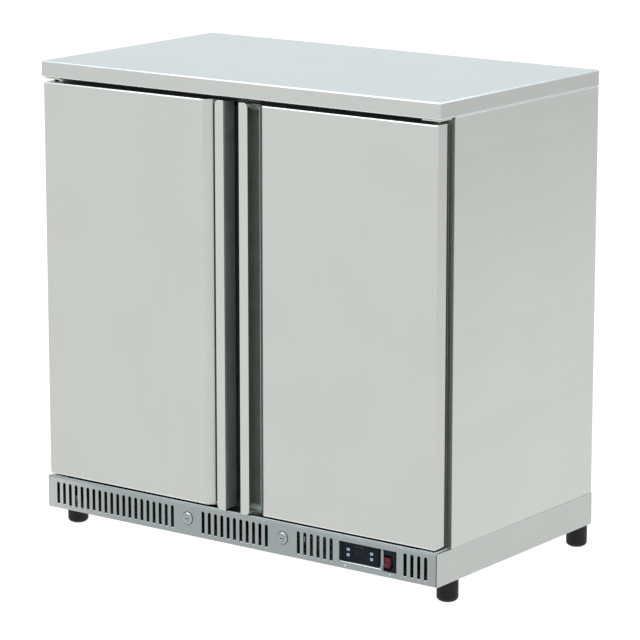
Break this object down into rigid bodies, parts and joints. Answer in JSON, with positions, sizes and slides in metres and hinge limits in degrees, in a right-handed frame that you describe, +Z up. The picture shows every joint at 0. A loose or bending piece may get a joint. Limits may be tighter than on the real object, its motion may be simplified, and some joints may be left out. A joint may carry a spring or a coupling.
{
  "type": "under counter fridge",
  "caption": "Stainless under counter fridge with hinged doors, recessed full-height grips, slotted plinth with locks and controls, wire shelves and levelling feet.",
  "frame": {"origin": "middle of the footprint, on the floor under the feet", "axes": "+Z up, the doors face -Y, +X towards the side with the controls"},
  "size_m": [0.9, 0.52, 0.9],
  "materials": {
    "stainless": "satin brushed stainless steel",
    "galvanised_sheet": "galvanised sheet, faint spangle",
    "liner_aluminium": "satin",
    "polyurethane_foam": "rigid foam, matt",
    "black_plastic": "fine moulded texture",
    "foot_plastic": "moulded, slightly shiny",
    "seal_rubber": "matt",
    "bush_plastic": "moulded",
    "chrome": "polished",
    "black_enamel": "satin enamel",
    "copper": "drawn copper tube",
    "white_plastic": "moulded",
    "key_plastic": null,
    "display_window": "dark glossy window",
    "red_plastic": "glossy translucent red"
  },
  "bodies": {
    "root": {"back_panel": "galvanised_sheet", "base_pan": "galvanised_sheet", "centre_mullion": "stainless", "compressor": "black_enamel", "condenser": "galvanised_sheet", "control_tray": "stainless", "controller_case": "black_plastic", "controller_window": "display_window", "evaporator": "liner_aluminium", "evaporator_cover": "white_plastic", "fan_motors": "black_enamel", "front_frame": "stainless", "grille_panel": "stainless", "hinge_brackets_bottom": "stainless", "hinge_brackets_top": "stainless", "inner_liner": "liner_aluminium", "insulation": "polyurethane_foam", "interior_lamp": "white_plastic", "lock_housings": "chrome", "mains_gland": "black_plastic", "panel_screws": "chrome", "plinth_side_left": "stainless", "plinth_side_right": "stainless", "rear_grille": "galvanised_sheet", "refrigerant_pipes": "copper", "shelf_rails": "liner_aluminium", "shelves": "chrome", "side_panel_left": "stainless", "side_panel_right": "stainless", "switch_bezel": "black_plastic", "underside_panel": "galvanised_sheet", "wall_spacers": "black_plastic", "worktop": "stainless"},
    "left_door": {"left_door_skin": "stainless", "left_door_foam": "polyurethane_foam", "left_door_liner": "liner_aluminium", "left_door_seal": "seal_rubber", "left_door_bushes": "bush_plastic", "left_grip_channel": "black_plastic", "left_handle_lip": "stainless"},
    "left_lock": {"lock_left": "chrome"},
    "right_door": {"right_door_skin": "stainless", "right_door_foam": "polyurethane_foam", "right_door_liner": "liner_aluminium", "right_door_seal": "seal_rubber", "right_door_bushes": "bush_plastic", "right_grip_channel": "black_plastic", "right_handle_lip": "stainless"},
    "right_lock": {"lock_right": "chrome"},
    "condenser_blades": {"condenser_fan": "black_plastic"},
    "evaporator_blades": {"evaporator_fan": "black_plastic"},
    "front_left_foot": {"foot_front_left": "foot_plastic"},
    "front_right_foot": {"foot_front_right": "foot_plastic"},
    "rear_left_foot": {"foot_rear_left": "foot_plastic"},
    "rear_right_foot": {"foot_rear_right": "foot_plastic"},
    "upper_left_key": {"key_upper_left": "key_plastic"},
    "upper_right_key": {"key_upper_right": "key_plastic"},
    "lower_left_key": {"key_lower_left": "key_plastic"},
    "lower_right_key": {"key_lower_right": "key_plastic"},
    "rocker": {"power_rocker": "red_plastic"}
  },
  "joints": [
    {"name": "left_door_hinge", "type": "hinge", "parent": "root", "child": "left_door", "pos_m": [-0.43, -0.236, 0.4847], "axis": [0, 0, -1], "range_deg": [0, 110]},
    {"name": "left_lock_turn", "type": "hinge", "parent": "root", "child": "left_lock", "pos_m": [-0.11, -0.246, 0.0748], "axis": [0, 1, 0], "range_deg": [0, 90]},
    {"name": "right_door_hinge", "type": "hinge", "parent": "root", "child": "right_door", "pos_m": [0.43, -0.236, 0.4847], "axis": [0, 0, 1], "range_deg": [0, 110]},
    {"name": "right_lock_turn", "type": "hinge", "parent": "root", "child": "right_lock", "pos_m": [0.11, -0.246, 0.0748], "axis": [0, -1, 0], "range_deg": [0, 90]},
    {"name": "condenser_fan_spin", "type": "hinge", "parent": "root", "child": "condenser_blades", "pos_m": [-0.23, 0.14, 0.16], "axis": [0, 1, 0], "continuous": true},
    {"name": "evaporator_fan_spin", "type": "hinge", "parent": "root", "child": "evaporator_blades", "pos_m": [0.105, 0.162, 0.708], "axis": [0, 1, 0], "continuous": true},
    {"name": "front_left_foot_turn", "type": "hinge", "parent": "root", "child": "front_left_foot", "pos_m": [-0.4305, -0.194, 0.03], "axis": [0, 0, 1], "continuous": true},
    {"name": "front_right_foot_turn", "type": "hinge", "parent": "root", "child": "front_right_foot", "pos_m": [0.4305, -0.194, 0.03], "axis": [0, 0, 1], "continuous": true},
    {"name": "rear_left_foot_turn", "type": "hinge", "parent": "root", "child": "rear_left_foot", "pos_m": [-0.4305, 0.236, 0.03], "axis": [0, 0, 1], "continuous": true},
    {"name": "rear_right_foot_turn", "type": "hinge", "parent": "root", "child": "rear_right_foot", "pos_m": [0.4305, 0.236, 0.03], "axis": [0, 0, 1], "continuous": true},
    {"name": "upper_left_key_press", "type": "slide", "parent": "root", "child": "upper_left_key", "axis": [0, 1, 0], "range_m": [0, 0.0008], "stiffness_N_per_m": 500},
    {"name": "upper_right_key_press", "type": "slide", "parent": "root", "child": "upper_right_key", "axis": [0, 1, 0], "range_m": [0, 0.0008], "stiffness_N_per_m": 500},
    {"name": "lower_left_key_press", "type": "slide", "parent": "root", "child": "lower_left_key", "axis": [0, 1, 0], "range_m": [0, 0.0008], "stiffness_N_per_m": 500},
    {"name": "lower_right_key_press", "type": "slide", "parent": "root", "child": "lower_right_key", "axis": [0, 1, 0], "range_m": [0, 0.0008], "stiffness_N_per_m": 500},
    {"name": "power_rocker_tilt", "type": "hinge", "parent": "root", "child": "rocker", "pos_m": [0.3415, -0.247, 0.0686], "axis": [1, 0, 0], "range_deg": [0, 20]}
  ]
}
